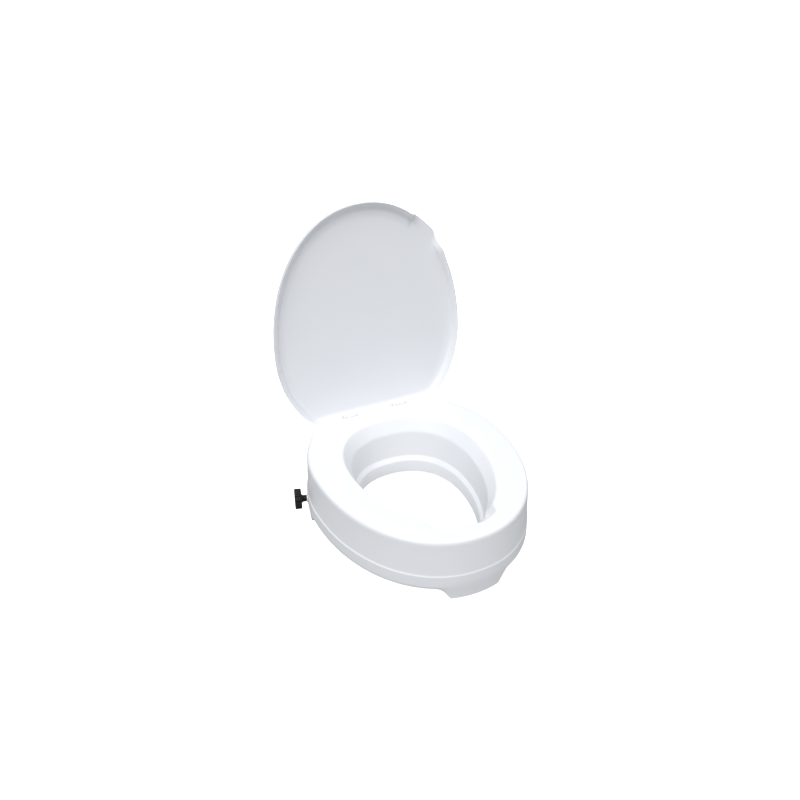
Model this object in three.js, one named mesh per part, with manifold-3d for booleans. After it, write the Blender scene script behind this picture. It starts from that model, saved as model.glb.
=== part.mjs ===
import * as THREE from "three";
import { mergeVertices } from "three/addons/utils/BufferGeometryUtils.js";
import Module from "manifold-3d";

const wasm = await Module();
wasm.setup();

// Raised toilet seat with a hinged lid and two screw clamps. Millimetres, +Z up, front at -Y.
// The seat's own level 0 is the shoulder where its top rolls over into the outer wall.

// overall heights
const RISE = 98; // shoulder to the underside that rests on the bowl
const TAB_DEPTH = 125; // shoulder to the bottom of the locating tabs
const SIDE_TAB_Y = 70;
const CROWN = 2; // top of the sitting surface above the shoulder
const WALL = 3;
const FIT_GAP = 0.3;
const CENTRE_Y = 16.72; // puts the middle of the whole footprint on the origin

// outlines, each a pair of half superellipses that meet at the widest point
const SEAT = { y: 0, halfWidth: 185, front: 256.1, rear: 198.5, frontPower: 2.12, rearPower: 2.06 };
const HOLE = {
  y: -18.6,
  halfWidth: 123.4,
  front: 198.8,
  rear: 138.3,
  frontPower: 1.92,
  rearPower: 2.29,
};
const FRONT_FLARE = 0.52; // the front wall leans out less than the sides do
const REAR_FLARE = 0.8;
const RIDGE_Z = -71.6;
const RIDGE_FLARE = 4.83;
const LIP_Z = -109.8; // bottom of the splash lip inside the bowl

// hygiene dip at the front of the hole
const DIP_HALF_WIDTH = 60;
const DIP_FLANK = 4.5; // how far the dip's ends lean in on their way out
const DIP_EDGE_Y = -223.6; // straight front edge of the dip

// lid and hinge
const HINGE = { y: 158.8, z: 2.6, x: 52, above: 5.95 };
const LID_LEAN = THREE.MathUtils.degToRad(7.5);
const LID_OVERHANG = 1.1;
const LID_DEPTH = 13;
const LID_SKIN = 2.6;
const RIM_SWELL = 5; // how much further in the rim's inner wall runs out at the lid's tip
const BARREL = { radius: 4.6, length: 20 };
const EAR = { radius: 4.6, thickness: 5 };
const PIN_RADIUS = 2;
const FACET_EASE = 0.05; // keeps a faceted bore clear of the round it holds
const DECK_Z = -14;
const DECK_FRONT = 157;
const POST_PLATE = 3.5;
const POST_HALF_WIDTH = BARREL.length / 2 + EAR.thickness + 0.8;
const POST_EASE = 0.4; // space round a post in the seat and in the lid
const POST_REAR = 181;
const POST_SCREWS_Y = 175;
const POST_SCREWS_X = 9;

// clamps: the screws stand square to the wall, so they are turned towards the rear
const CLAMP_TURN = 16;
const CLAMP_BASE = { x: 7.03, y: 8.67 }; // where the right clamp's own x is 0
const CLAMP_Z = -82.5;
const WALL_FACE_X = 181.5; // flat spot on the outer wall under the bushing's flange
const STUD_RADIUS = 4;
const STUD_END_X = 125;
const POCKET = { x0: 98.5, x1: 165, halfWidth: 17, roof: -66 };
const POCKET_FLOOR = -RISE - 5 - CLAMP_Z; // below the seat's underside, so that the pocket is open
const BORE_EASE = 0.15; // lets a faceted bore clear the round it holds
const BUSHING_RADIUS = 6.5;
const FLANGE = { radius: 8, thickness: 2 };
const KNOB = { hubRadius: 6, head: 193.5, thickness: 12.5, radius: 18.2, lobe: 0.8, lobes: 12 };
const KNOB_EDGE = 1.5;
const LEG = { x: 110, thickness: 4, bottom: -122, halfWidth: 15.5 };
const PAD = { halfWidth: 13.5, plate: 2, ribs: 7, ribPitch: 4, ribHalf: 1, margin: 1 };

const whitePlastic = { color: 0xf3f5f6, roughness: 0.34, metalness: 0 };
const lidPlastic = { color: 0xf1f3f5, roughness: 0.3, metalness: 0 };
const blackPlastic = { color: 0x151516, roughness: 0.45, metalness: 0 };
const zincSteel = { color: 0xb9bcc0, roughness: 0.35, metalness: 1 };
const greyRubber = { color: 0x3b3c3e, roughness: 0.85, metalness: 0 };
const nylon = { color: 0xe4e4df, roughness: 0.5, metalness: 0 };

// ---- solids -------------------------------------------------------------------------------

function signedVolume(geometry) {
  const p = geometry.attributes.position;
  const index = geometry.index.array;
  const a = new THREE.Vector3();
  const b = new THREE.Vector3();
  const c = new THREE.Vector3();
  let total = 0;
  for (let i = 0; i < index.length; i += 3) {
    a.fromBufferAttribute(p, index[i]);
    b.fromBufferAttribute(p, index[i + 1]);
    c.fromBufferAttribute(p, index[i + 2]);
    total += a.dot(b.cross(c));
  }
  return total / 6;
}

function solid(source) {
  const bare = source.clone();
  bare.deleteAttribute("normal");
  bare.deleteAttribute("uv");
  const geometry = mergeVertices(bare, 1e-4);
  const triVerts = Uint32Array.from(geometry.index.array);
  if (signedVolume(geometry) < 0) triVerts.reverse();
  const vertProperties = Float32Array.from(geometry.attributes.position.array);
  return new wasm.Manifold(new wasm.Mesh({ numProp: 3, vertProperties, triVerts }));
}

function geometryOf(shape) {
  const mesh = shape.getMesh();
  const geometry = new THREE.BufferGeometry();
  geometry.setAttribute("position", new THREE.BufferAttribute(mesh.vertProperties, 3));
  geometry.setIndex(new THREE.BufferAttribute(mesh.triVerts, 1));
  geometry.computeVertexNormals();
  return geometry;
}

function piece(name, shape, material) {
  const mesh = new THREE.Mesh(geometryOf(shape), new THREE.MeshStandardMaterial(material));
  mesh.name = name;
  return mesh;
}

function box(x0, x1, y0, y1, z0, z1) {
  const geometry = new THREE.BoxGeometry(x1 - x0, y1 - y0, z1 - z0);
  geometry.translate((x0 + x1) / 2, (y0 + y1) / 2, (z0 + z1) / 2);
  return solid(geometry);
}

// a turned shape on the X axis from a profile of [x, radius] points
function turnedOnX(profile, segments = 32) {
  const points = profile.map(([x, radius]) => new THREE.Vector2(radius, x));
  const geometry = new THREE.LatheGeometry(points, segments);
  geometry.rotateZ(-Math.PI / 2);
  return solid(geometry);
}

function rodOnX(x0, x1, radius, segments = 24) {
  return turnedOnX([[x0, 0], [x0, radius], [x1, radius], [x1, 0]], segments);
}

// a closed outline of [y, z] points extruded along X
function extrudedOnX(outline, x0, x1) {
  const shape = new THREE.Shape(outline.map(([y, z]) => new THREE.Vector2(y, z)));
  const geometry = new THREE.ExtrudeGeometry(shape, { depth: x1 - x0, bevelEnabled: false });
  geometry.applyMatrix4(new THREE.Matrix4().set(0, 0, 1, x0, 1, 0, 0, 0, 0, 1, 0, 0, 0, 0, 0, 1));
  return solid(geometry);
}

// a closed outline of [x, z] points extruded along Y
function extrudedOnY(outline, y0, y1) {
  const shape = new THREE.Shape(outline.map(([x, z]) => new THREE.Vector2(x, z)));
  const geometry = new THREE.ExtrudeGeometry(shape, { depth: y1 - y0, bevelEnabled: false });
  geometry.applyMatrix4(new THREE.Matrix4().set(1, 0, 0, 0, 0, 0, 1, y0, 0, 1, 0, 0, 0, 0, 0, 1));
  return solid(geometry);
}

// rows of points round the object; neighbouring rows are joined, and the ends are either joined
// to each other or closed with a fan
function loft(rows, endsMeet) {
  const count = rows[0].length;
  const positions = rows.flat().flatMap((p) => [p.x, p.y, p.z]);
  const index = [];
  const joins = endsMeet ? rows.length : rows.length - 1;
  for (let r = 0; r < joins; r += 1) {
    const low = r * count;
    const high = ((r + 1) % rows.length) * count;
    for (let i = 0; i < count; i += 1) {
      const next = (i + 1) % count;
      index.push(low + i, low + next, high + next, low + i, high + next, high + i);
    }
  }
  if (!endsMeet) {
    closeRow(rows[0], 0, true, positions, index);
    closeRow(rows[rows.length - 1], (rows.length - 1) * count, false, positions, index);
  }
  const geometry = new THREE.BufferGeometry();
  geometry.setAttribute("position", new THREE.Float32BufferAttribute(positions, 3));
  geometry.setIndex(index);
  return solid(geometry);
}

function closeRow(row, start, flipped, positions, index) {
  const centre = new THREE.Vector3();
  row.forEach((p) => centre.addScaledVector(p, 1 / row.length));
  const hub = positions.length / 3;
  positions.push(centre.x, centre.y, centre.z);
  row.forEach((_, i) => {
    const next = (i + 1) % row.length;
    if (flipped) index.push(start + next, start + i, hub);
    else index.push(start + i, start + next, hub);
  });
}

// ---- seat ---------------------------------------------------------------------------------

// directions round the ring, closer together across the hygiene dip at the front
function ringAngles() {
  const angles = [];
  const dip = [0, 7, 14, 19, 23, 26, 27.6, 28.8, 30.1, 33];
  dip.forEach((a) => angles.push(a));
  for (let a = 37.5; a < 325; a += 7.5) angles.push(a);
  dip.slice(1).reverse().forEach((a) => angles.push(360 - a));
  return angles.map((a) => THREE.MathUtils.degToRad(a));
}

const RING = ringAngles();

function outlinePoint(outline, angle, grow) {
  const c = Math.cos(angle);
  const s = Math.sin(angle);
  const power = c > 0 ? outline.frontPower : outline.rearPower;
  const length = c > 0 ? outline.front + grow.front : outline.rear + grow.rear;
  const x = (outline.halfWidth + grow.side) * Math.sign(s) * Math.abs(s) ** (2 / power);
  const y = outline.y - length * Math.sign(c) * Math.abs(c) ** (2 / power);
  return new THREE.Vector2(x, y);
}

const even = (d) => ({ side: d, front: d, rear: d });
const flared = (f, d) => ({ side: f + d, front: f * FRONT_FLARE + d, rear: f * REAR_FLARE + d });

function outerRow(flare, inset, z) {
  return RING.map((angle) => {
    const p = outlinePoint(SEAT, angle, flared(flare, -inset));
    return new THREE.Vector3(p.x, p.y, z);
  });
}

// how far into the dip a place on the rim of the hole is: 0 outside, 1 across the middle
function dipShare(angle) {
  const p = outlinePoint(HOLE, angle, even(0));
  if (p.y > HOLE.y) return 0;
  return THREE.MathUtils.smoothstep(DIP_HALF_WIDTH - Math.abs(p.x), 0, DIP_FLANK);
}

// pull is how much of the dip's straight edge this row takes; beyond moves it past that edge
function innerRow(inset, z, pull = 0, beyond = 0) {
  return RING.map((angle) => {
    const p = outlinePoint(HOLE, angle, even(-inset));
    const y = THREE.MathUtils.lerp(p.y, DIP_EDGE_Y - beyond, pull * dipShare(angle));
    return new THREE.Vector3(p.x, y, z);
  });
}

function crownRow(share, z) {
  return RING.map((angle) => {
    const outer = outlinePoint(SEAT, angle, even(-6));
    const inner = outlinePoint(HOLE, angle, even(7));
    const p = inner.lerp(outer, share);
    return new THREE.Vector3(p.x, p.y, z);
  });
}

function outerShell() {
  const rows = [
    outerRow(1.1, 4, -RISE),
    outerRow(RIDGE_FLARE, 3.2, -RISE),
    outerRow(RIDGE_FLARE, 1.6, -RISE + 0.7),
    outerRow(RIDGE_FLARE, 0.6, -RISE + 2.4),
    outerRow(RIDGE_FLARE, 0.2, RIDGE_Z - 2),
    outerRow(RIDGE_FLARE, 0, RIDGE_Z - 1.2),
    outerRow(RIDGE_FLARE, 0, RIDGE_Z),
    outerRow(RIDGE_FLARE - 0.5, 0, RIDGE_Z + 1),
    outerRow(3.6, 0, RIDGE_Z + 1.6),
    outerRow(2.1, 0, -45),
    outerRow(1.2, 0, -22),
    outerRow(1.1, 0, -5),
    outerRow(1.1, 0.55, -2.3),
    outerRow(1.1, 2.05, 0),
    outerRow(1.1, 4.3, 1.45),
    outerRow(1.1, 7, CROWN),
    crownRow(0.55, CROWN),
    innerRow(-7, CROWN - 0.1, 1, 6.5),
    innerRow(-2.6, 1.2, 1, 2.4),
    innerRow(0.4, -0.9, 1),
    innerRow(8.2, -13.5, 0.5),
    innerRow(13, -24.5, 0.1),
    innerRow(14.4, -28.5),
    innerRow(17.8, -76.5),
    innerRow(18.7, -78.2),
    innerRow(22.9, -85.3),
    innerRow(23.8, -87.5),
    innerRow(26, LIP_Z + 1),
    innerRow(25.3, LIP_Z),
    innerRow(22.9, LIP_Z),
    innerRow(22.2, LIP_Z + 1),
    innerRow(20.4, -RISE),
  ];
  return loft(rows, true);
}

function cavity() {
  const rows = [
    outerRow(RIDGE_FLARE, 0.8 + WALL, -RISE + WALL),
    outerRow(RIDGE_FLARE, WALL, RIDGE_Z - 1),
    outerRow(2.1, WALL, -45),
    outerRow(1.1, WALL, -7),
    outerRow(1.1, 7, CROWN - WALL),
    innerRow(-7, CROWN - 0.3 - WALL, 1, 7 + WALL),
    innerRow(0.4 - WALL, -4, 1, WALL),
    innerRow(13 - WALL, -26, 0.25),
    innerRow(17.8 - WALL, -77),
    innerRow(20, -88),
    innerRow(19, -RISE + WALL),
  ];
  return loft(rows, true);
}

// a thin upright band under the seat's outer edge, from which the locating tabs are cut
function tabBand() {
  const rows = [
    outerRow(RIDGE_FLARE, 0.7, -RISE + 3),
    outerRow(RIDGE_FLARE, 3.6, -TAB_DEPTH + 1.5),
    outerRow(RIDGE_FLARE, 4.8, -TAB_DEPTH),
    outerRow(RIDGE_FLARE, 8, -TAB_DEPTH),
    outerRow(RIDGE_FLARE, 9, -TAB_DEPTH + 1.5),
    outerRow(RIDGE_FLARE, 8.4, -RISE + 3),
  ];
  return loft(rows, true);
}

// half of a tab's outline: wide rounded root, straight flank, blunt foot
function tabOutline(middle, rootHalf, footHalf) {
  const top = -RISE + 4;
  const half = [
    [rootHalf + 8, top],
    [rootHalf + 4, -RISE],
    [rootHalf - 3, -RISE - 1.6],
    [rootHalf - 8, -RISE - 5.6],
    [footHalf + 2, -TAB_DEPTH + 3.4],
    [footHalf, -TAB_DEPTH + 1],
    [footHalf - 3, -TAB_DEPTH - 1],
  ];
  const right = half.map(([x, z]) => [middle + x, z]);
  const left = half.map(([x, z]) => [middle - x, z]).reverse();
  return right.concat(left);
}

function tabs() {
  const front = extrudedOnY(tabOutline(0, 66, 45), -280, -200);
  const sides = extrudedOnX(tabOutline(SIDE_TAB_Y, 56, 27), -210, 210);
  return tabBand().intersect(front.add(sides));
}

// copies of a shape drawn for the right clamp, in its own frame, at both sides of the seat
function atBothClamps(shape) {
  const { x, y } = CLAMP_BASE;
  const right = shape.rotate(0, 0, CLAMP_TURN).translate(x, y, CLAMP_Z);
  const left = shape.rotate(0, 0, 180 - CLAMP_TURN).translate(-x, y, CLAMP_Z);
  return right.add(left);
}

function clampHousings() {
  const { x0, x1, halfWidth, roof } = POCKET;
  const half = halfWidth + WALL;
  return atBothClamps(box(x0 - WALL, x1 + 30, -half, half, POCKET_FLOOR, roof + WALL - CLAMP_Z));
}

function clampPockets() {
  const { x0, x1, halfWidth, roof } = POCKET;
  const pocket = box(x0, x1, -halfWidth, halfWidth, POCKET_FLOOR, roof - CLAMP_Z);
  const bore = rodOnX(x1 - 1, WALL_FACE_X + 30, BUSHING_RADIUS + BORE_EASE, 32);
  const flat = rodOnX(WALL_FACE_X, WALL_FACE_X + 30, FLANGE.radius + 1);
  return atBothClamps(pocket.add(bore).add(flat));
}

function postRecesses() {
  const half = POST_HALF_WIDTH + POST_EASE;
  const y0 = HINGE.y - BARREL.radius - POST_EASE;
  const right = box(HINGE.x - half, HINGE.x + half, y0, DECK_FRONT + 1, DECK_Z, 20);
  return right.add(right.translate(-2 * HINGE.x, 0, 0));
}

function deckCut(grow) {
  return box(-150, 150, DECK_FRONT - grow, 240, DECK_Z - grow, 20);
}

function deckPilots() {
  const holes = postScrewPlaces().map(([x, y]) => {
    const hole = rodOnX(-10, 1, 1.75, 16).rotate(0, -90, 0);
    return hole.translate(x, y, DECK_Z);
  });
  return wasm.Manifold.union(holes);
}

function pilotBosses() {
  const bosses = postScrewPlaces().map(([x, y]) => {
    const boss = rodOnX(-13, 0, 4.5, 16).rotate(0, -90, 0);
    return boss.translate(x, y, DECK_Z);
  });
  return wasm.Manifold.union(bosses);
}

const VENT = { y: 168, radius: 6 };

function ventHole() {
  const hole = rodOnX(-RISE - 1, -RISE + WALL + 3, VENT.radius).rotate(0, -90, 0);
  return hole.translate(0, VENT.y, 0);
}

function seatBody() {
  let hollow = cavity().subtract(clampHousings()).subtract(deckCut(WALL));
  hollow = hollow.subtract(postRecesses().translate(0, -WALL, -WALL)).subtract(pilotBosses());
  const shell = outerShell().subtract(hollow).add(tabs());
  const cuts = [deckCut(0), postRecesses(), clampPockets(), deckPilots(), ventHole()];
  return cuts.reduce((body, cut) => body.subtract(cut), shell);
}

function ventPlug() {
  const face = -RISE - 1.6;
  const seatFace = -RISE - FIT_GAP;
  const top = -RISE + WALL + 1.5;
  const head = [[face, 0], [face, 8], [seatFace, 9]];
  const stem = [[seatFace, 5.7], [top, 5.2], [top, 0]];
  return turnedOnX([...head, ...stem]).rotate(0, -90, 0).translate(0, VENT.y, 0);
}

// ---- hinge --------------------------------------------------------------------------------

function postScrewPlaces() {
  const places = [];
  for (const side of [-1, 1]) {
    for (const step of [-1, 1]) places.push([side * HINGE.x + step * POST_SCREWS_X, POST_SCREWS_Y]);
  }
  return places;
}

function earOutline() {
  const outline = [[HINGE.y - EAR.radius, DECK_Z + FIT_GAP]];
  for (let a = 180; a >= 0; a -= 20) {
    const angle = THREE.MathUtils.degToRad(a);
    outline.push([HINGE.y + EAR.radius * Math.cos(angle), HINGE.z + EAR.radius * Math.sin(angle)]);
  }
  outline.push([HINGE.y + EAR.radius, DECK_Z + FIT_GAP]);
  return outline.reverse();
}

// forked post in its own frame: x is measured from the middle of the barrel
function hingePost() {
  const half = POST_HALF_WIDTH;
  const base = DECK_Z + FIT_GAP;
  const top = DECK_Z + POST_PLATE;
  const front = HINGE.y - EAR.radius;
  const plate = box(-half, half, front, POST_REAR, base, top);
  const heelFront = HINGE.y + EAR.radius;
  const heel = [
    [heelFront, top - 1],
    [heelFront, -5.2],
    [heelFront + 4.5, -5.7],
    [heelFront + 6.5, top - 1],
  ];
  const stop = extrudedOnX(heel.reverse(), -half, half);
  const inner = half - EAR.thickness;
  const ears = extrudedOnX(earOutline(), -half, -inner).add(extrudedOnX(earOutline(), inner, half));
  const bore = rodOnX(-half - 1, half + 1, PIN_RADIUS + FACET_EASE).translate(0, HINGE.y, HINGE.z);
  const hole = rodOnX(DECK_Z - 1, top + 1, 2.3, 16).rotate(0, -90, 0);
  const holes = [-1, 1].map((step) => hole.translate(step * POST_SCREWS_X, POST_SCREWS_Y, 0));
  const body = plate.add(stop).add(ears).subtract(bore);
  return body.subtract(holes[0]).subtract(holes[1]);
}

function hingeScrew() {
  const head = DECK_Z + POST_PLATE + FIT_GAP;
  const slotFloor = head + 1.4;
  const slot = box(-2.4, 2.4, -0.5, 0.5, slotFloor, head + 4);
  const cross = slot.add(slot.rotate(0, 0, 90));
  const shank = [[DECK_Z - 9, 0], [DECK_Z - 8, 1.6], [head, 1.6]];
  const dome = [[head, 4], [head + 1.2, 3.7], [head + 2.4, 2.2], [head + 2.7, 0]];
  return turnedOnX([...shank, ...dome], 20).rotate(0, -90, 0).subtract(cross);
}

function hingePin() {
  const end = POST_HALF_WIDTH;
  const chamfer = 0.5;
  const tip = PIN_RADIUS - chamfer;
  const left = [[-end, 0], [-end, tip], [chamfer - end, PIN_RADIUS]];
  const right = [[end - chamfer, PIN_RADIUS], [end, tip], [end, 0]];
  return turnedOnX([...left, ...right], 24);
}

// ---- lid ----------------------------------------------------------------------------------
// The lid is drawn shut against an upright wall: z runs from the hinge to the far tip, y is the
// depth behind the rim, and the hinge axis is the origin.

const LID_MIDDLE = HINGE.y - 6; // centre of the widest part, measured up from the hinge edge

// the rim stops between these directions, and the panel runs out there as a lifting tab
const GAP = { start: [25.5, 27.1], end: [40.5, 48.5] };
const TAB_EDGE = [
  [102, 366],
  [106, 368.6],
  [121, 355.8],
  [137, 340],
  [145.5, 330.5],
  [148, 325.5],
  [148.4, 321],
  [152, 308.5],
  [161, 289],
  [168, 266],
];

// directions from the middle, clockwise from the tip, closer together round the lifting tab
function lidAngles() {
  const angles = [];
  for (let a = 0; a < 24; a += 6) angles.push(a);
  angles.push(24, 25.5, 26.4, 27.1, 29, 32, 35, 37, 38.2, 38.9, 39.6, 41, 43, 44.5, 46, 48);
  for (let a = 51; a < 360; a += 5.15) angles.push(a);
  return angles.map((a) => THREE.MathUtils.degToRad(a));
}

// distance from the middle to the edge of the lid, in one direction, at one inset
function lidReach(angle, inset, edge) {
  const c = Math.cos(angle);
  const s = Math.sin(angle);
  const side = SEAT.halfWidth + LID_OVERHANG - inset;
  const along = (c > 0 ? SEAT.front : SEAT.rear) + LID_OVERHANG - inset;
  const power = c > 0 ? SEAT.frontPower : SEAT.rearPower;
  const corner = 12 + inset;
  let low = 0;
  let high = along + side;
  for (let i = 0; i < 40; i += 1) {
    const r = (low + high) / 2;
    const oval = (Math.abs(r * s) / side) ** power + (Math.abs(r * c) / along) ** power;
    const chord = Math.max(0, (-r * c) / (LID_MIDDLE - edge));
    if (oval ** corner + chord ** (2 * corner) > 1) high = r;
    else low = r;
  }
  return low;
}

// distance from the middle to the lifting tab's outer edge, or 0 where there is no tab
function tabReach(angle) {
  const c = Math.cos(angle);
  const s = Math.sin(angle);
  for (let i = 1; i < TAB_EDGE.length; i += 1) {
    const [x0, z0] = TAB_EDGE[i - 1];
    const ex = TAB_EDGE[i][0] - x0;
    const ez = TAB_EDGE[i][1] - z0;
    const z = z0 - (LID_MIDDLE - HINGE.above);
    const share = (c * x0 - s * z) / (s * ez - c * ex);
    const reach = (x0 + share * ex) * s + (z + share * ez) * c;
    if (share >= 0 && share <= 1 && reach > 0) return reach;
  }
  return 0;
}

function gapShare(angle) {
  const a = THREE.MathUtils.radToDeg(angle);
  return THREE.MathUtils.smoothstep(a, ...GAP.start) - THREE.MathUtils.smoothstep(a, ...GAP.end);
}

// tab is how much of the lifting tab's reach this row takes, swell how much of the tip's swelling
function lidRow(inset, edge, depth, tab = 0, swell = 0) {
  return LID_TURN.map((angle) => {
    const beyond = Math.max(0, tabReach(angle) - lidReach(angle, 0, 0));
    const inward = swell * RIM_SWELL * Math.max(0, Math.cos(angle)) ** 8;
    const r = lidReach(angle, inset, edge) + tab * beyond - inward;
    const sunk = Math.max(0, LID_DEPTH + 0.3 - depth) * 0.95 * gapShare(angle);
    const z = r * Math.cos(angle) + LID_MIDDLE - HINGE.above;
    return new THREE.Vector3(r * Math.sin(angle), depth + sunk, z);
  });
}

const LID_TURN = lidAngles();

function lidShell() {
  const back = LID_DEPTH + LID_SKIN;
  const rows = [
    lidRow(90, 80, LID_DEPTH + 0.8),
    lidRow(45, 32, LID_DEPTH + 0.3),
    lidRow(22, 14, LID_DEPTH - 0.2, 0, 1),
    lidRow(15.5, 11, 12.2, 0.1, 1),
    lidRow(10.8, 8.8, 10.2, 0.2, 1),
    lidRow(7.2, 6.6, 4.4, 0.4),
    lidRow(5.2, 4.8, 2.8, 0.5),
    lidRow(0.7, 0.5, 0.1, 1),
    lidRow(0, 0, 0.6, 1),
    lidRow(0, 0, 4.5, 1),
    lidRow(0.7, 0.7, 9.5, 1),
    lidRow(3.2, 3, 13, 1),
    lidRow(8, 7.5, back - 0.8, 0.8),
    lidRow(16, 14, back, 0.4),
    lidRow(45, 32, back + 0.5),
    lidRow(90, 80, back + 1),
  ];
  return loft(rows, false);
}

function lidBarrels() {
  const half = BARREL.length / 2;
  const barrel = rodOnX(-half, half, BARREL.radius);
  return barrel.translate(HINGE.x, 0, 0).add(barrel.translate(-HINGE.x, 0, 0));
}

function earNotches() {
  const inner = BARREL.length / 2;
  const outer = POST_HALF_WIDTH + POST_EASE;
  const reach = EAR.radius + POST_EASE;
  const slot = box(inner, outer, -8, reach + 1, -12, reach);
  const pair = slot.add(slot.translate(-inner - outer, 0, 0));
  return pair.translate(HINGE.x, 0, 0).add(pair.translate(-HINGE.x, 0, 0));
}

function lidSolid() {
  const bores = rodOnX(-130, 130, PIN_RADIUS + FACET_EASE);
  const reach = HINGE.x + POST_HALF_WIDTH + 2.5;
  const hole = bores.intersect(box(-reach, reach, -9, 9, -9, 9));
  return lidShell().add(lidBarrels()).subtract(earNotches()).subtract(hole);
}

// ---- clamp, drawn for the right-hand side with the screw on the X axis ----------------------

function wallBushing() {
  const bore = STUD_RADIUS + FIT_GAP;
  const face = WALL_FACE_X + FIT_GAP;
  const end = face + FLANGE.thickness;
  const sleeve = [[POCKET.x1, bore], [POCKET.x1, BUSHING_RADIUS], [face, BUSHING_RADIUS]];
  const flange = [[face, FLANGE.radius], [end, FLANGE.radius], [end, bore], [POCKET.x1, bore]];
  return turnedOnX([...sleeve, ...flange]);
}

// the knob's grip: a thick disc with rounded lobes round its edge
function knobGrip() {
  const outline = new THREE.Shape();
  const steps = KNOB.lobes * 6;
  for (let i = 0; i < steps; i += 1) {
    const angle = (2 * Math.PI * i) / steps;
    const radius = KNOB.radius + KNOB.lobe * Math.cos(KNOB.lobes * angle) - KNOB_EDGE;
    const point = [radius * Math.cos(angle), radius * Math.sin(angle)];
    if (i === 0) outline.moveTo(...point);
    else outline.lineTo(...point);
  }
  const geometry = new THREE.ExtrudeGeometry(outline, {
    depth: KNOB.thickness - 2 * KNOB_EDGE,
    bevelEnabled: true,
    bevelThickness: KNOB_EDGE,
    bevelSize: KNOB_EDGE,
    bevelSegments: 1,
  });
  geometry.rotateY(Math.PI / 2);
  geometry.translate(KNOB.head + KNOB_EDGE, 0, 0);
  return solid(geometry);
}

function knobBody() {
  const { hubRadius, head, thickness } = KNOB;
  const start = WALL_FACE_X + FLANGE.thickness + 2 * FIT_GAP;
  const face = head + thickness;
  const neck = [[start, 0], [start, hubRadius], [head - 1, hubRadius + 0.5]];
  const root = [[head + 2, hubRadius + 3], [head + 2, 0]];
  const dish = turnedOnX([[face + 1, 0], [face + 1, 12.5], [face - 1, 11.5], [face - 1.2, 0]]);
  const socket = rodOnX(start - 1, head + 8, STUD_RADIUS + FACET_EASE);
  return knobGrip().add(turnedOnX([...neck, ...root])).subtract(dish).subtract(socket);
}

function clampScrew() {
  const end = KNOB.head + 7.6;
  const tip = STUD_END_X;
  const point = [[tip, 0], [tip, STUD_RADIUS - 1], [tip + 1, STUD_RADIUS]];
  return turnedOnX([...point, [end, STUD_RADIUS], [end, 0]], 24);
}

function screwCollar() {
  const x1 = POCKET.x1 - FIT_GAP;
  const x0 = x1 - 4;
  const bore = STUD_RADIUS + FACET_EASE;
  return turnedOnX([[x0, bore], [x0, 7.5], [x0 + 0.6, 8], [x1, 8], [x1, bore], [x0, bore]]);
}

const NUT = { x0: 137, x1: 143.5, half: 6.5 };

function clampBracket() {
  const { x, thickness, bottom, halfWidth } = LEG;
  const drop = bottom - CLAMP_Z;
  const roof = POCKET.roof - 1 - CLAMP_Z;
  const leg = box(x, x + thickness, -halfWidth, halfWidth, drop, roof);
  const top = box(x, 150, -halfWidth, halfWidth, roof - 3.5, roof);
  const boss = box(133, 148, -11, 11, -11, roof - 1);
  const rib = [[x + 2, roof - 2], [x + 2, -16], [x + 5, -16], [x + 16, roof - 2]];
  const outerRib = extrudedOnY(rib, halfWidth - 3.5, halfWidth);
  const ribs = outerRib.add(outerRib.translate(0, 3.5 - 2 * halfWidth, 0));
  const bore = rodOnX(130, 152, STUD_RADIUS + 0.4);
  const { x0, x1, half } = NUT;
  const nutSlot = box(x0 - FIT_GAP, x1 + FIT_GAP, -half - FIT_GAP, half + FIT_GAP, -12, half + FIT_GAP);
  return leg.add(top).add(boss).add(ribs).subtract(bore).subtract(nutSlot);
}

function clampNut() {
  const { x0, x1, half } = NUT;
  return box(x0, x1, -half, half, -half, half).subtract(rodOnX(x0 - 1, x1 + 1, STUD_RADIUS + FACET_EASE));
}

function clampPad() {
  const { halfWidth, plate, ribs, ribPitch, ribHalf, margin } = PAD;
  const x0 = LEG.x + LEG.thickness + FIT_GAP;
  const z0 = LEG.bottom - CLAMP_Z + margin;
  const z1 = -RISE - CLAMP_Z - margin;
  let pad = box(x0, x0 + plate, -halfWidth, halfWidth, z0, z1);
  for (let i = 0; i < ribs; i += 1) {
    const y = (i - (ribs - 1) / 2) * ribPitch;
    const rib = box(x0 + 1, x0 + plate + 1, y - ribHalf, y + ribHalf, z0 + margin, z1 - margin);
    pad = pad.add(rib);
  }
  return pad;
}

// ---- assembly -----------------------------------------------------------------------------

const group = new THREE.Group();
group.name = "raised_toilet_seat";

const assembly = new THREE.Group();
assembly.position.set(0, CENTRE_Y, TAB_DEPTH);
group.add(assembly);

assembly.add(piece("seat_body", seatBody(), whitePlastic));
assembly.add(piece("vent_plug", ventPlug(), nylon));

const post = hingePost();
const screw = hingeScrew();
const pin = hingePin();
const lidGroup = new THREE.Group();
lidGroup.position.set(0, HINGE.y, HINGE.z);
lidGroup.rotation.x = -LID_LEAN;
assembly.add(lidGroup);
lidGroup.add(piece("lid", lidSolid(), lidPlastic));

for (const [side, word] of [[-1, "left"], [1, "right"]]) {
  const bracket = piece(`hinge_bracket_${word}`, post, whitePlastic);
  bracket.position.x = side * HINGE.x;
  assembly.add(bracket);
  const hingePinMesh = piece(`hinge_pin_${word}`, pin, zincSteel);
  hingePinMesh.position.x = side * HINGE.x;
  hingePinMesh.rotation.z = side < 0 ? Math.PI : 0;
  lidGroup.add(hingePinMesh);
}

postScrewPlaces().forEach(([x, y], i) => {
  const mesh = piece(`hinge_screw_${i + 1}`, screw, zincSteel);
  mesh.position.set(x, y, 0);
  assembly.add(mesh);
});

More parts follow.
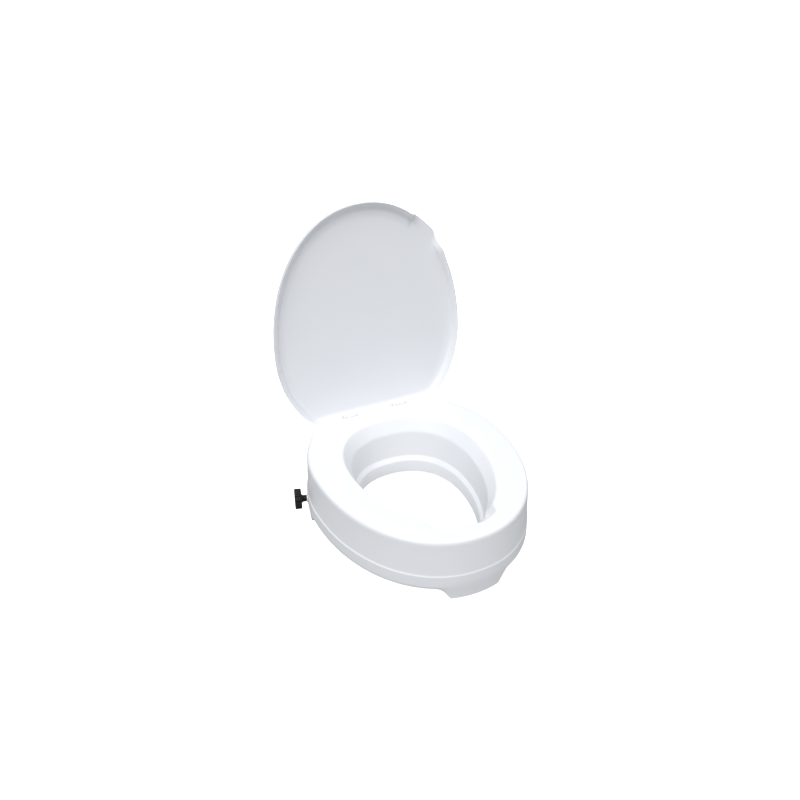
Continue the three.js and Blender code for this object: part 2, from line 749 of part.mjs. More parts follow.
const clampPieces = [
  ["wall_bushing", wallBushing(), whitePlastic],
  ["knob", knobBody(), blackPlastic],
  ["clamp_screw", clampScrew(), zincSteel],
  ["screw_collar", screwCollar(), zincSteel],
  ["clamp_bracket", clampBracket(), whitePlastic],
  ["clamp_nut", clampNut(), zincSteel],
  ["clamp_pad", clampPad(), greyRubber],
];

for (const [side, word] of [[-1, "left"], [1, "right"]]) {
  const clamp = new THREE.Group();
  clamp.position.set(side * CLAMP_BASE.x, CLAMP_BASE.y, CLAMP_Z);
  const turn = THREE.MathUtils.degToRad(CLAMP_TURN);
  clamp.rotation.z = side < 0 ? Math.PI - turn : turn;
  for (const [name, shape, material] of clampPieces) {
    clamp.add(piece(`${name}_${word}`, shape, material));
  }
  assembly.add(clamp);
}

export default group;
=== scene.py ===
import math
from functools import partial

import bmesh
import bpy
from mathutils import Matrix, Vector


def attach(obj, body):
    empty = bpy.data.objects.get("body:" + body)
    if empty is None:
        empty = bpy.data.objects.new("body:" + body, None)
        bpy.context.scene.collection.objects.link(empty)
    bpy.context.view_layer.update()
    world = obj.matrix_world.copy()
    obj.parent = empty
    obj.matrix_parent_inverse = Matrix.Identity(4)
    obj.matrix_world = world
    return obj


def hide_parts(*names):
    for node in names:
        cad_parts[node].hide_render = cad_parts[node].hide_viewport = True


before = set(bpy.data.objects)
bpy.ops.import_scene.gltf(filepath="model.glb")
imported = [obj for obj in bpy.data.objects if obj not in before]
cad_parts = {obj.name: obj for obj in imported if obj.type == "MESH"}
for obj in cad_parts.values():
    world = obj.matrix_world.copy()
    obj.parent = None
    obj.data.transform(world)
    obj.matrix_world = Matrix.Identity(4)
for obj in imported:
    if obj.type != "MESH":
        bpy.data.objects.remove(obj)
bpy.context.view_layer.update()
MM = 0.001

# ---- the seat's own frame, in millimetres: level 0 is the shoulder of the seat ---------------
CENTRE_Y = 16.72
SHOULDER = 125.0
CROWN = 2.0
RISE = 98.0
SEAT = {"half": 185.0, "front": 256.1, "rear": 198.5, "fp": 2.12, "rp": 2.06, "y": 0.0}
HOLE = {"half": 123.4, "front": 198.8, "rear": 138.3, "fp": 1.92, "rp": 2.29, "y": -18.6}
FRONT_FLARE = 0.52
REAR_FLARE = 0.8
RIDGE_Z = -71.6
RIDGE = 4.83
LIP_Z = -109.8
TAB_DROP = 27.0
DIP_HALF = 60.0
DIP_FLANK = 4.5
DIP_Y = -223.6
HINGE_Y = 158.8
HINGE_Z = 2.6
HINGE_X = 52.0
HINGE_ABOVE = 5.95
LID_LEAN = math.radians(7.5)
LID_OVERHANG = 1.1
LID_DEPTH = 13.0
LID_SKIN = 2.6
RIM_SWELL = 5.0
BARREL = 4.6
BARREL_HALF = 10.0
PIN = 2.05
DECK_Z = -14.0
DECK_Y = 157.0
POST_HALF = 15.8
POST_EASE = 0.15
POST_SCREW_Y = 175.0
POST_SCREW_X = 9.0
PILOT = 1.75
CLAMP_TURN = math.radians(16)
CLAMP_BASE_X = 7.03
CLAMP_BASE_Y = 8.67
CLAMP_Z = -82.5
WALL_FACE_X = 181.5
POCKET = {"start": 98.5, "end": 165.0, "half": 17.0, "roof": -66.0}
BUSHING_BORE = 6.7
FLANGE_BORE = 9.0
OUTSIDE = 220.0
VENT_Y = 168.0
VENT = 6.0


def to_row(x, y, z):
    """A point of the seat's frame, in millimetres, as a point of the row frame, in metres."""
    return Vector((x * MM, (y + CENTRE_Y) * MM, (z + SHOULDER) * MM))


def lid_to_row(x, depth, up):
    """A point of the open lid's own frame, whose origin is the hinge axis, in the row frame."""
    c, s = math.cos(LID_LEAN), math.sin(LID_LEAN)
    return to_row(x, HINGE_Y + depth * c + up * s, HINGE_Z - depth * s + up * c)


def clamp_to_row(side, x, y, z):
    """A point measured outwards along a clamp screw's axis, for side -1 or 1."""
    c, s = math.cos(CLAMP_TURN), math.sin(CLAMP_TURN)
    across = side * y
    out = CLAMP_BASE_X + x * c - across * s
    return to_row(side * out, CLAMP_BASE_Y + x * s + across * c, CLAMP_Z + z)


# ---- small mesh helpers -----------------------------------------------------------------------

def smooth(obj, angle=35):
    """Smooth shading, kept sharp at edges steeper than the angle."""
    obj.data.shade_smooth()
    obj.data.set_sharp_from_angle(angle=math.radians(angle))


def link(name, bm, angle=35):
    """Turns a bmesh into a shaded object in the scene."""
    mesh = bpy.data.meshes.new(name)
    bmesh.ops.recalc_face_normals(bm, faces=bm.faces)
    bm.to_mesh(mesh)
    bm.free()
    obj = bpy.data.objects.new(name, mesh)
    bpy.context.scene.collection.objects.link(obj)
    smooth(obj, angle)
    return obj


def loft(rows, ends_meet):
    """A mesh from rows of points; the ends are joined to each other or closed with a fan."""
    bm = bmesh.new()
    rings = [[bm.verts.new(p) for p in row] for row in rows]
    count = len(rings[0])
    pairs = list(zip(rings, rings[1:]))
    if ends_meet:
        pairs.append((rings[-1], rings[0]))
    for low, high in pairs:
        for i in range(count):
            j = (i + 1) % count
            bm.faces.new((low[i], low[j], high[j], high[i]))
    if not ends_meet:
        for ring in (rings[0], rings[-1]):
            middle = sum((v.co for v in ring), Vector()) / count
            hub = bm.verts.new(middle)
            for i in range(count):
                bm.faces.new((ring[i], ring[(i + 1) % count], hub))
    return bm


def flat(point):
    """Where a profile point lies in its own plane: how far out it is, and its height."""
    return point[0] - point[1], point[-1]


def soften(points, radii, steps=6, plane=flat):
    """Rounds the corners of an open polyline of equal-length tuples."""
    out = [points[0]]
    for i in range(1, len(points) - 1):
        a, b, c = points[i - 1], points[i], points[i + 1]
        before = min(0.5, radii[i] / max(1e-6, math.dist(plane(a), plane(b))))
        after = min(0.5, radii[i] / max(1e-6, math.dist(plane(b), plane(c))))
        start = [q + (p - q) * before for p, q in zip(a, b)]
        end = [q + (p - q) * after for p, q in zip(c, b)]
        for k in range(steps + 1):
            t = k / steps
            weights = (1 - t) ** 2, 2 * t * (1 - t), t * t
            out.append(tuple(sum(w * p for w, p in zip(weights, c3)) for c3 in zip(start, b, end)))
    out.append(points[-1])
    return out


def prism(outline, along, place):
    """A closed outline of (u, v) points swept between two values w; place(u, v, w) is the point."""
    rows = [[place(u, v, w) for u, v in outline] for w in along]
    return loft(rows, False)


def block(x0, x1, y0, y1, z0, z1):
    corners = [(x0, y0), (x1, y0), (x1, y1), (x0, y1)]
    return prism(corners, (z0, z1), to_row)


def rod(place, x0, x1, radius, segments=48):
    """A round bar from x0 to x1 along the first axis of place."""
    turn = [2 * math.pi * k / segments for k in range(segments)]
    ring = [(radius * math.cos(a), radius * math.sin(a)) for a in turn]
    return prism(ring, (x0, x1), lambda u, v, w: place(w, u, v))


def cut(obj, cutters, operation="DIFFERENCE"):
    """Applies boolean cutters, given as meshes still in bmesh form, to an object."""
    for bm in cutters:
        cutter = link("cutter", bm)
        modifier = obj.modifiers.new("cut", "BOOLEAN")
        modifier.object = cutter
        modifier.operation = operation
        modifier.solver = "EXACT"
        graph = bpy.context.evaluated_depsgraph_get()
        mesh = bpy.data.meshes.new_from_object(obj.evaluated_get(graph))
        obj.modifiers.clear()
        old = obj.data
        obj.data = mesh
        mesh.name = old.name
        bpy.data.meshes.remove(old)
        bpy.data.objects.remove(cutter)
    smooth(obj)


# ---- materials --------------------------------------------------------------------------------

def base_material(name, roughness, metallic=0.0):
    material = bpy.data.materials.new(name)
    material.use_nodes = True
    tree = material.node_tree
    bsdf = tree.nodes["Principled BSDF"]
    bsdf.inputs["Metallic"].default_value = metallic
    bsdf.inputs["Roughness"].default_value = roughness
    place = tree.nodes.new("ShaderNodeTexCoord")
    return material, tree, bsdf, place.outputs["Object"]


def noise(tree, place, scale, detail=3.0, stretch=None):
    node = tree.nodes.new("ShaderNodeTexNoise")
    node.inputs["Scale"].default_value = scale
    node.inputs["Detail"].default_value = detail
    if stretch:
        mapping = tree.nodes.new("ShaderNodeMapping")
        mapping.inputs["Scale"].default_value = stretch
        tree.links.new(place, mapping.inputs["Vector"])
        place = mapping.outputs["Vector"]
    tree.links.new(place, node.inputs["Vector"])
    return node.outputs["Fac"]


def spread(tree, value, low, high, start=0.35, end=0.65):
    """Maps the range start to end of a node's value onto low to high."""
    node = tree.nodes.new("ShaderNodeMapRange")
    node.inputs["From Min"].default_value = start
    node.inputs["From Max"].default_value = end
    node.inputs["To Min"].default_value = low
    node.inputs["To Max"].default_value = high
    tree.links.new(value, node.inputs["Value"])
    return node.outputs["Result"]


def tint(tree, value, first, second, socket):
    """Mixes two colours by a node's value into a socket."""
    node = tree.nodes.new("ShaderNodeMix")
    node.data_type = "RGBA"
    node.inputs["A"].default_value = (*first, 1)
    node.inputs["B"].default_value = (*second, 1)
    tree.links.new(value, node.inputs["Factor"])
    tree.links.new(node.outputs["Result"], socket)


def bump(tree, value, bsdf, distance):
    """Raises the surface by up to distance, in metres, with a node's value."""
    node = tree.nodes.new("ShaderNodeBump")
    node.inputs["Strength"].default_value = 1.0
    node.inputs["Distance"].default_value = distance
    tree.links.new(value, node.inputs["Height"])
    tree.links.new(node.outputs["Normal"], bsdf.inputs["Normal"])


def moulded(name, colours, roughness, grain=1400.0, height=0.00002, shine_level=0.45):
    """Moulded plastic: faint flow variation in colour and gloss over a fine texture."""
    material, tree, bsdf, place = base_material(name, roughness)
    tint(tree, noise(tree, place, 9, 1), *colours, bsdf.inputs["Base Color"])
    shine = spread(tree, noise(tree, place, 26, 2), roughness - 0.05, roughness + 0.07, 0.2, 0.8)
    tree.links.new(shine, bsdf.inputs["Roughness"])
    bump(tree, noise(tree, place, grain, 2), bsdf, height)
    bsdf.inputs["Specular IOR Level"].default_value = shine_level
    return material


def plated(name):
    """Zinc-plated steel with faint drawn lines and a mottled gloss."""
    material, tree, bsdf, place = base_material(name, 0.32, 1.0)
    mottle = spread(tree, noise(tree, place, 160), 0, 1)
    tint(tree, mottle, (0.62, 0.63, 0.65), (0.50, 0.51, 0.52), bsdf.inputs["Base Color"])
    shine = spread(tree, noise(tree, place, 420, stretch=(0.15, 1, 1)), 0.24, 0.42)
    tree.links.new(shine, bsdf.inputs["Roughness"])
    bump(tree, noise(tree, place, 900, stretch=(0.1, 1, 1)), bsdf, 0.00002)
    return material


def rubber(name):
    """Dull dark rubber with worn patches and a rough skin."""
    material, tree, bsdf, place = base_material(name, 0.8)
    wear = spread(tree, noise(tree, place, 60), 0, 1)
    tint(tree, wear, (0.045, 0.046, 0.05), (0.075, 0.076, 0.08), bsdf.inputs["Base Color"])
    bump(tree, noise(tree, place, 2200, 4), bsdf, 0.00006)
    return material


SEAT_COLOURS = (0.85, 0.86, 0.885), (0.875, 0.885, 0.905)
LID_COLOURS = (0.805, 0.815, 0.845), (0.83, 0.84, 0.865)
FITTING_COLOURS = (0.82, 0.83, 0.84), (0.85, 0.86, 0.865)
KNOB_COLOURS = (0.002, 0.002, 0.002), (0.004, 0.004, 0.004)

WHITE = moulded("seat_plastic", SEAT_COLOURS, 0.36)
LID_WHITE = moulded("lid_plastic", LID_COLOURS, 0.38)
HARD_WHITE = moulded("fitting_plastic", FITTING_COLOURS, 0.45, 900, 0.00004)
BLACK = moulded("knob_plastic", KNOB_COLOURS, 0.34, 1600, 0.00003, 0.35)
STEEL = plated("zinc_plate")
GRIP = rubber("grip_rubber")


def finish_with(obj, material):
    obj.data.materials.clear()
    obj.data.materials.append(material)


# ---- seat -------------------------------------------------------------------------------------

def outline(shape, angle, side, front, rear):
    """A point of an outline made of two half superellipses, in one direction from its middle."""
    c, s = math.cos(angle), math.sin(angle)
    power = shape["fp"] if c > 0 else shape["rp"]
    length = shape["front"] + front if c > 0 else shape["rear"] + rear
    x = (shape["half"] + side) * math.copysign(abs(s) ** (2 / power), s)
    y = shape["y"] - length * math.copysign(abs(c) ** (2 / power), c)
    return x, y


def ring_angles():
    """Directions round the ring, closer together at the tabs' flanks and the dip's ends."""
    spans = [(0, 10, 1.25), (10, 31, 0.3), (31, 88, 1.25), (88, 133, 0.5), (133, 180, 1.25)]
    half = []
    for start, end, step in spans:
        count = round((end - start) / step)
        half += [start + (end - start) * k / count for k in range(count)]
    other = [360 - a for a in half[1:]]
    return [math.radians(a) for a in half + [180] + other[::-1]]


RING = ring_angles()


def smoothstep(value, low, high):
    t = min(1, max(0, (value - low) / (high - low)))
    return t * t * (3 - 2 * t)


def outer_point(angle, flare, inset, z):
    sizes = flare - inset, flare * FRONT_FLARE - inset, flare * REAR_FLARE - inset
    return to_row(*outline(SEAT, angle, *sizes), z)


def outer_row(flare, inset, z):
    return [outer_point(angle, flare, inset, z) for angle in RING]


def dip_share(angle):
    """How far into the hygiene dip a place on the hole's rim is, from 0 to 1."""
    x, y = outline(HOLE, angle, 0, 0, 0)
    if y > HOLE["y"]:
        return 0.0
    return smoothstep(DIP_HALF - abs(x), 0, DIP_FLANK)


def inner_row(inset, pull, beyond, z):
    row = []
    for angle in RING:
        x, y = outline(HOLE, angle, -inset, -inset, -inset)
        share = pull * dip_share(angle)
        row.append(to_row(x, y + (DIP_Y - beyond - y) * share, z))
    return row


def crown_row(share, z):
    """A row on the sitting surface, between the hole's rim (0) and the shoulder (1)."""
    row = []
    for angle in RING:
        ox, oy = outline(SEAT, angle, -6, -6, -6)
        ix, iy = outline(HOLE, angle, 7, 7, 7)
        row.append(to_row(ix + (ox - ix) * share, iy + (oy - iy) * share, z))
    return row


def tab_profile(root, foot, fillet):
    """(distance from the tab's middle, how far it reaches down) down one side of a tab."""
    corners = [(root + fillet, 0), (root - 4, 0), (foot + 0.5, TAB_DROP - 1), (0, TAB_DROP)]
    return soften(corners, [0, fillet, 3, 0], 8, lambda p: p)


FRONT_TAB = tab_profile(66, 45, 14)
SIDE_TAB = tab_profile(56, 27, 16)
SIDE_TAB_Y = 70.0


def read_profile(profile, distance):
    """How far down a tab reaches at this distance from its middle."""
    for (d0, z0), (d1, z1) in zip(profile, profile[1:]):
        if d1 <= distance <= d0:
            return z0 + (z1 - z0) * (d0 - distance) / max(1e-9, d0 - d1)
    return 0.0


def tab_drop(angle):
    x, y = outline(SEAT, angle, RIDGE - 4, 0, 0)
    if y < -120:
        return read_profile(FRONT_TAB, abs(x))
    if y > -20:
        return read_profile(SIDE_TAB, abs(y - SIDE_TAB_Y))
    return 0.0


def tab_row(flat_inset, tab_inset, above_flat, above_tab, depth=1.0):
    """A row under the seat that follows the tabs down, blended between the flat and the tab."""
    row = []
    for angle in RING:
        drop = tab_drop(angle)
        share = drop / TAB_DROP
        inset = flat_inset + (tab_inset - flat_inset) * share
        above = above_flat + (above_tab - above_flat) * share
        row.append(outer_point(angle, RIDGE, inset, -RISE - drop * depth + above))
    return row


def seat_shell():
    under = [
        outer_row(RIDGE, 16, -RISE),
        tab_row(12, 9.2, 0, 0, 0),
        tab_row(11, 8.3, 0, 0, 0.12),
        tab_row(10, 8.5, 0, 0, 0.5),
        tab_row(9, 8.7, 0, 1.2),
        tab_row(8, 7.9, 0, 0.2),
        tab_row(7, 7.2, 0, 0),
        tab_row(5.6, 5.9, 0, 0),
        tab_row(3.2, 4.4, 0.1, 0.3),
        tab_row(1.9, 3.6, 0.6, 1.2),
        tab_row(1.0, 3.0, 1.8, 2.0, 0.66),
        tab_row(0.5, 1.6, 3.2, 3.0, 0.33),
        tab_row(0.2, 0.4, 5.0, 5.0, 0),
    ]
    outer = soften([
        (RIDGE, 0.1, -RISE + 8),
        (RIDGE, 0, RIDGE_Z - 2),
        (RIDGE, 0, RIDGE_Z),
        (3.0, 0, RIDGE_Z + 2.9),
        (2.1, 0, -45),
        (1.2, 0, -22),
        (1.1, 0, CROWN),
        (1.1, 14, CROWN),
    ], [0, 1.4, 1.2, 1.2, 10, 10, 9, 0])
    inner = soften([
        (-7, 1, 6.5, CROWN - 0.1),
        (-1.5, 1, 1, CROWN - 0.3),
        (1.2, 1, 0, -1.5),
        (13.4, 0.1, 0, -25.5),
        (17.9, 0, 0, -76.8),
        (23.4, 0, 0, -86.0),
        (26, 0, 0, LIP_Z),
        (22.2, 0, 0, LIP_Z),
        (20.4, 0, 0, -RISE),
    ], [0, 2.5, 3.5, 4, 1.4, 1.4, 0.8, 0.8, 0], 6, lambda p: (p[0], p[-1]))
    rows = under + [outer_row(*p) for p in outer]
    rows += [crown_row(s, CROWN + 0.3 * math.sin(math.pi * s)) for s in (0.8, 0.6, 0.4, 0.2)]
    rows += [inner_row(*p) for p in inner]
    return loft(rows, True)


STEP_BACK = 250.0
STEP_TOP = 40.0


def step_cutter(x0, x1, y):
    """Cuts down to the rear deck behind y, with a rounded upper edge and a fillet at its foot."""
    top = CROWN + 0.25
    profile = soften([
        (STEP_BACK, DECK_Z),
        (y, DECK_Z),
        (y, top),
        (y - 6, top),
        (y - 6, STEP_TOP),
        (STEP_BACK, STEP_TOP),
    ], [0, 1.0, 2.2, 0, 0, 0], 6, lambda p: p)
    profile = [(u, v + 0.02 if v > top - 0.01 and u < y - 3 else v) for u, v in profile]
    return prism(profile, (x0, x1), lambda u, v, w: to_row(w, u, v))


def upright(x, y):
    """A place function for rods that stand upright at (x, y)."""
    return lambda up, across, back: to_row(x + across, y + back, up)


def clamp_cutters(side):
    """The pocket for the clamp's arm, the bore for the bushing and the flat spot for its flange."""
    place = partial(clamp_to_row, side)
    start, end, half = POCKET["start"], POCKET["end"], POCKET["half"]
    pocket = [(start, -half), (end, -half), (end, half), (start, half)]
    return [
        prism(pocket, (-RISE - 9 - CLAMP_Z, POCKET["roof"] - CLAMP_Z), place),
        rod(place, end - 5, OUTSIDE, BUSHING_BORE),
        rod(place, WALL_FACE_X, OUTSIDE, FLANGE_BORE),
    ]


def post_cutters(side):
    """The recess for a hinge post and the two pilot holes for its screws."""
    middle = side * HINGE_X
    front = HINGE_Y - BARREL - POST_EASE
    half = POST_HALF + POST_EASE
    cutters = [block(middle - half, middle + half, front, DECK_Y + 1, DECK_Z, 20)]
    for step in (-POST_SCREW_X, POST_SCREW_X):
        hole = upright(middle + step, POST_SCREW_Y)
        cutters.append(rod(hole, DECK_Z - 12, DECK_Z + 2, PILOT, 24))
    return cutters


def seat_cutters():
    cutters = [step_cutter(-170, 170, DECK_Y)]
    for side in (-1, 1):
        cutters += post_cutters(side) + clamp_cutters(side)
    cutters.append(rod(upright(0, VENT_Y), -RISE - 1, -RISE + 6, VENT))
    return cutters


def make_seat():
    seat = link("seat_shell", seat_shell())
    cut(seat, seat_cutters())
    finish_with(seat, WHITE)
    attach(seat, "seat")
    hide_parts("seat_body")


# ---- lid --------------------------------------------------------------------------------------

LID_MIDDLE = HINGE_Y - 6


def lid_reach(angle, inset, edge):
    """Distance from the lid's middle to its edge in one direction, at one inset."""
    c, s = math.cos(angle), math.sin(angle)
    side = SEAT["half"] + LID_OVERHANG - inset
    along = (SEAT["front"] if c > 0 else SEAT["rear"]) + LID_OVERHANG - inset
    power = SEAT["fp"] if c > 0 else SEAT["rp"]
    corner = 12 + inset
    low, high = 0.0, along + side
    for _ in range(34):
        r = (low + high) / 2
        oval = (abs(r * s) / side) ** power + (abs(r * c) / along) ** power
        chord = max(0.0, -r * c / (LID_MIDDLE - edge))
        if oval ** corner + chord ** (2 * corner) > 1:
            high = r
        else:
            low = r
    return low


def lid_stations():
    """Directions from the lid's middle, closer together where the lifting tab starts and ends."""
    spans = [(0, 20, 1.0), (20, 60, 0.25), (60, 150, 1.0), (150, 210, 0.75), (210, 360, 1.0)]
    turn = []
    for start, end, step in spans:
        count = round((end - start) / step)
        turn += [math.radians(start + (end - start) * k / count) for k in range(count)]
    return turn


TURN = lid_stations()
TAB_EDGE = [
    (102, 366), (106, 368.6), (121, 355.8), (137, 340), (145.5, 330.5), (148, 325.5),
    (148.4, 321), (152, 308.5), (161, 289), (168, 266),
]
GAP_START = (math.radians(25.5), math.radians(27.1))
GAP_END = (math.radians(40.5), math.radians(48.5))


def tab_reach(angle):
    """How far the lifting tab's outer edge is from the lid's middle, or 0 where there is no tab."""
    c, s = math.cos(angle), math.sin(angle)
    for (x0, z0), (x1, z1) in zip(TAB_EDGE, TAB_EDGE[1:]):
        ex, ez = x1 - x0, z1 - z0
        across = s * ez - c * ex
        x, z = x0, z0 - (LID_MIDDLE - HINGE_ABOVE)
        share = (c * x - s * z) / across
        if 0 <= share <= 1 and (x + share * ex) * s + (z + share * ez) * c > 0:
            return (x + share * ex) * s + (z + share * ez) * c
    return 0.0


def gap_share(angle):
    """1 across the finger gap in the rim, where the panel runs out to form the lifting tab."""
    return smoothstep(angle, *GAP_START) - smoothstep(angle, *GAP_END)


def lid_row(edge, inset, depth, tab=0.0, swell=0.0):
    """A row round the lid, with its shares of the lifting tab's reach and of the tip's thicker rim."""
    row = []
    for angle in TURN:
        r = lid_reach(angle, inset, edge) - swell * RIM_SWELL * max(0.0, math.cos(angle)) ** 8
        r += tab * max(0.0, tab_reach(angle) - lid_reach(angle, 0, 0))
        sunk = max(0.0, LID_DEPTH + 0.3 - depth) * 0.95 * gap_share(angle)
        up = r * math.cos(angle) + LID_MIDDLE - HINGE_ABOVE
        row.append(lid_to_row(r * math.sin(angle), depth + sunk, up))
    return row


def lid_shell():
    back = LID_DEPTH + LID_SKIN
    profile = soften([
        (80, 90, LID_DEPTH + 0.8, 0, 0),
        (50, 60, LID_DEPTH + 0.5, 0, 0),
        (14, 22, LID_DEPTH - 0.1, 0, 1),
        (8.8, 10.8, LID_DEPTH - 2.2, 0.2, 1),
        (6.6, 7.2, 4.4, 0.4, 0),
        (0.4, 0.6, 0, 1, 0),
        (0, 0, 0.5, 1, 0),
        (0, 0, 8, 1, 0),
        (3.8, 4.0, back - 0.7, 1, 0),
        (32, 45, back + 0.5, 0, 0),
        (80, 90, back + 1, 0, 0),
    ], [0, 10, 4, 4.5, 1.6, 0.5, 0.5, 5, 7, 10, 0], 7, lambda p: (p[1], p[2]))
    return loft([lid_row(*p) for p in profile], False)


def on_hinge(middle):
    """A place function for rods on the hinge axis."""
    return lambda x, depth, up: lid_to_row(middle + x, depth, up)


def hinge_barrel(middle):
    return rod(on_hinge(middle), -BARREL_HALF, BARREL_HALF, BARREL)


def lid_cutters(middle):
    """Notches for a post's two ears, and the bore for its pin."""
    outer = POST_HALF + POST_EASE
    reach = BARREL + POST_EASE
    slots = []
    for x0, x1 in ((BARREL_HALF, outer), (-outer, -BARREL_HALF)):
        corners = [(x0, -8), (x1, -8), (x1, reach + 1), (x0, reach + 1)]
        slots.append(prism(corners, (-12, reach), on_hinge(middle)))
    slots.append(rod(on_hinge(middle), -POST_HALF - 2, POST_HALF + 2, PIN, 32))
    return slots


def make_lid():
    lid = link("lid_shell", lid_shell())
    cut(lid, [hinge_barrel(-HINGE_X), hinge_barrel(HINGE_X)], "UNION")
    cut(lid, lid_cutters(-HINGE_X) + lid_cutters(HINGE_X))
    finish_with(lid, LID_WHITE)
    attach(lid, "lid")
    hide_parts("lid")


# ---- clamps: every length is measured outwards along the screw's axis ---------------------------

KNOB_HEAD = 193.5
KNOB_THICK = 12.5
KNOB_RADIUS = 18.2
KNOB_LOBES = 12
KNOB_LOBE = 0.8
HUB_START = WALL_FACE_X + 2.6
STUD_START = 125.0
STUD_RADIUS = 3.95
THREAD_LEAD = 3.0
THREAD_DEPTH = 0.75
THREAD_STEP = 0.3
STUD_SIDES = 24


def knob_ring(side, x, radius, lobe):
    row = []
    steps = KNOB_LOBES * 20
    for k in range(steps):
        angle = 2 * math.pi * k / steps
        r = radius + lobe * math.cos(KNOB_LOBES * angle)
        row.append(clamp_to_row(side, x, r * math.cos(angle), r * math.sin(angle)))
    return row


def make_knob(side, word):
    out = KNOB_HEAD + KNOB_THICK
    profile = soften([
        (HUB_START, 2.5, 0),
        (HUB_START, 6.0, 0),
        (KNOB_HEAD - 2.5, 6.2, 0),
        (KNOB_HEAD, 9.0, 0),
        (KNOB_HEAD, KNOB_RADIUS - 0.3, KNOB_LOBE),
        (out, KNOB_RADIUS, KNOB_LOBE),
        (out, 13.5, 0),
        (out - 1.2, 12.3, 0),
        (out - 1.2, 5, 0),
    ], [0, 0.6, 1.5, 1.5, 1.4, 1.6, 0.6, 0.6, 0], 6, lambda p: (p[0], p[1]))
    knob = link("hand_knob_" + word, loft([knob_ring(side, *p) for p in profile], False))
    finish_with(knob, BLACK)
    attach(knob, "handwheel_" + word)
    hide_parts("knob_" + word)


def thread_radius(x, angle):
    """Radius of the stud's surface: a trapezoidal thread, with its tip tapered in."""
    taper = 0.82 + 0.18 * min(1.0, (x - STUD_START + 0.6) / 1.6)
    phase = (x / THREAD_LEAD + angle / (2 * math.pi)) % 1
    groove = min(1, max(0, (abs(phase - 0.5) * 2 - 0.25) / 0.5))
    return (STUD_RADIUS - THREAD_DEPTH * groove) * taper


def make_screw(side, word):
    end = KNOB_HEAD + 2
    count = round((end - STUD_START) / THREAD_STEP)
    turn = [2 * math.pi * k / STUD_SIDES for k in range(STUD_SIDES)]
    rows = []
    for i in range(count + 1):
        x = STUD_START + (end - STUD_START) * i / count
        reach = [(a, thread_radius(x, a)) for a in turn]
        rows.append([clamp_to_row(side, x, r * math.cos(a), r * math.sin(a)) for a, r in reach])
    screw = link("threaded_stud_" + word, loft(rows, False), 50)
    finish_with(screw, STEEL)
    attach(screw, "handwheel_" + word)
    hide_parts("clamp_screw_" + word)


PAD_FACE_X = 114.3
PAD_HALF = 13.5
PAD_PLATE = 1.7
PAD_RIB = 1.3
PAD_RIB_PITCH = 4.0
PAD_ENDS = [(0, 0.9), (0.02, 0.4), (0.06, 0.1), (0.12, 0)]
PAD_LOW = -122 - CLAMP_Z + 1
PAD_HIGH = -RISE - CLAMP_Z - 1


def make_pad(side, word):
    """Rubber grip pad: seven upright rounded ribs on a thin plate, with softened ends."""
    across = 120
    rows = []
    other_end = [(1 - share, pinch) for share, pinch in PAD_ENDS[::-1]]
    for share, pinch in PAD_ENDS + other_end:
        z = PAD_LOW + (PAD_HIGH - PAD_LOW) * share
        half = PAD_HALF - pinch
        row = [clamp_to_row(side, PAD_FACE_X, -half, z)]
        for k in range(across + 1):
            y = -half + 2 * half * k / across
            rib = max(0.0, math.cos(2 * math.pi * y / PAD_RIB_PITCH)) ** 0.6
            edge = smoothstep(min(k, across - k), 0, 4)
            out = PAD_PLATE - 0.4 * (1 - edge) + (PAD_RIB - pinch) * rib * edge
            row.append(clamp_to_row(side, PAD_FACE_X + out, y, z))
        row.append(clamp_to_row(side, PAD_FACE_X, half, z))
        rows.append(row)
    pad = link("ribbed_pad_" + word, loft(rows, False), 50)
    finish_with(pad, GRIP)
    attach(pad, "clamp_" + word)
    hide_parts("clamp_pad_" + word)


make_seat()
make_lid()
for side, word in ((-1, "left"), (1, "right")):
    make_knob(side, word)
    make_screw(side, word)
    make_pad(side, word)

# ---- pieces carried over from the CAD, with small edge rounds and their own finish --------------

EDGE_ROUND = 0.3 * MM
CARRIED = {
    "vent_plug": HARD_WHITE,
    "hinge_bracket": HARD_WHITE,
    "hinge_pin": STEEL,
    "hinge_screw": STEEL,
    "wall_bushing": HARD_WHITE,
    "screw_collar": STEEL,
    "clamp_bracket": HARD_WHITE,
    "clamp_nut": STEEL,
}

for node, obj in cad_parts.items():
    for stem, material in CARRIED.items():
        if not node.startswith(stem):
            continue
        finish_with(obj, material)
        edge = obj.modifiers.new("edge", "BEVEL")
        edge.width = EDGE_ROUND
        edge.segments = 2
        edge.limit_method = "ANGLE"
        edge.angle_limit = math.radians(40)
        edge.harden_normals = False

# ---- camera, floor and light --------------------------------------------------------------------

CAMERA_AZIMUTH = math.radians(-25.15)
CAMERA_HEIGHT = math.radians(32.30)
CAMERA_DISTANCE = 1.84606
CAMERA_LENS = 44.02
AIM = to_row(29.46, 110.40, 44.04)
FLOOR_RADIUS = 20.0
FLOOR_GLOW = 0.8
FROM_BELOW = 0.375
FROM_SIDES = 0.36
FROM_ABOVE = 0.75
SKY_TINT = (0.97, 0.99, 1.02)
SUN_WIDTH = math.radians(40)
KEY = (0.5, 0.35, -0.8), 1.81
FILL = (-0.45, 0.65, -0.6), 0.61
LAMP_TINT = (0.985, 0.995, 1.0)


def make_camera():
    data = bpy.data.cameras.new("camera")
    data.lens = CAMERA_LENS
    camera = bpy.data.objects.new("camera", data)
    bpy.context.scene.collection.objects.link(camera)
    a, e = CAMERA_AZIMUTH, CAMERA_HEIGHT
    back = Vector((math.sin(a) * math.cos(e), -math.cos(a) * math.cos(e), math.sin(e)))
    camera.location = AIM + back * CAMERA_DISTANCE
    camera.rotation_mode = "QUATERNION"
    camera.rotation_quaternion = (-back).to_track_quat("-Z", "Y")
    data.clip_start, data.clip_end = 0.05, 100
    bpy.context.scene.camera = camera


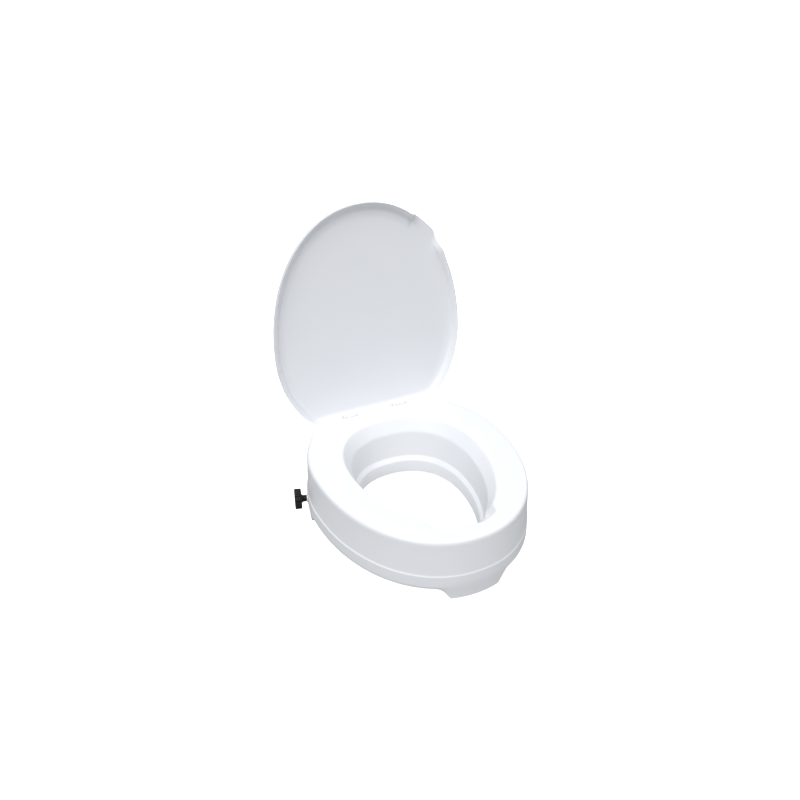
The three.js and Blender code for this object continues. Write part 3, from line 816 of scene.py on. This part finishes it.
def make_floor():
    bm = bmesh.new()
    bmesh.ops.create_circle(bm, cap_ends=True, radius=FLOOR_RADIUS, segments=64)
    floor = link("floor", bm)
    material, tree, bsdf, place = base_material("floor", 0.9)
    colours = (0.93, 0.93, 0.93), (0.95, 0.95, 0.95)
    tint(tree, noise(tree, place, 3), *colours, bsdf.inputs["Base Color"])
    bsdf.inputs["Specular IOR Level"].default_value = 0.1
    bsdf.inputs["Emission Color"].default_value = (1, 1, 1, 1)
    bsdf.inputs["Emission Strength"].default_value = FLOOR_GLOW
    finish_with(floor, material)
    floor.visible_diffuse = False
    floor.visible_glossy = False


def ramp_of_sky(tree, stops):
    """A grey level for each height of the sky, from straight down (0) to straight up (1)."""
    place = tree.nodes.new("ShaderNodeTexCoord")
    split = tree.nodes.new("ShaderNodeSeparateXYZ")
    height = tree.nodes.new("ShaderNodeMapRange")
    height.inputs["From Min"].default_value = -1
    ramp = tree.nodes.new("ShaderNodeValToRGB")
    ramp.color_ramp.interpolation = "EASE"
    while len(ramp.color_ramp.elements) < len(stops):
        ramp.color_ramp.elements.new(0.5)
    for element, (where, colour) in zip(ramp.color_ramp.elements, stops):
        element.position = where
        element.color = (*colour, 1)
    tree.links.new(place.outputs["Generated"], split.inputs["Vector"])
    tree.links.new(split.outputs["Z"], height.inputs["Value"])
    tree.links.new(height.outputs["Result"], ramp.inputs["Fac"])
    return ramp.outputs["Color"]


def lamp(name, direction, energy):
    """A soft sun that shines in one direction."""
    data = bpy.data.lights.new(name, "SUN")
    data.energy = energy
    data.angle = SUN_WIDTH
    data.color = LAMP_TINT
    obj = bpy.data.objects.new(name, data)
    obj.rotation_mode = "QUATERNION"
    obj.rotation_quaternion = Vector(direction).to_track_quat("-Z", "Y")
    bpy.context.scene.collection.objects.link(obj)


def make_light():
    world = bpy.data.worlds.new("world")
    world.use_nodes = True
    tree = world.node_tree
    levels = [(0.425, FROM_BELOW), (0.575, FROM_SIDES), (0.675, FROM_SIDES), (0.925, FROM_ABOVE)]
    stops = [(where, tuple(level * c for c in SKY_TINT)) for where, level in levels]
    tree.links.new(ramp_of_sky(tree, stops), tree.nodes["Background"].inputs["Color"])
    bpy.context.scene.world = world
    lamp("key", *KEY)
    lamp("fill", *FILL)


make_camera()
make_floor()
make_light()
bpy.context.scene.view_settings.view_transform = "Standard"
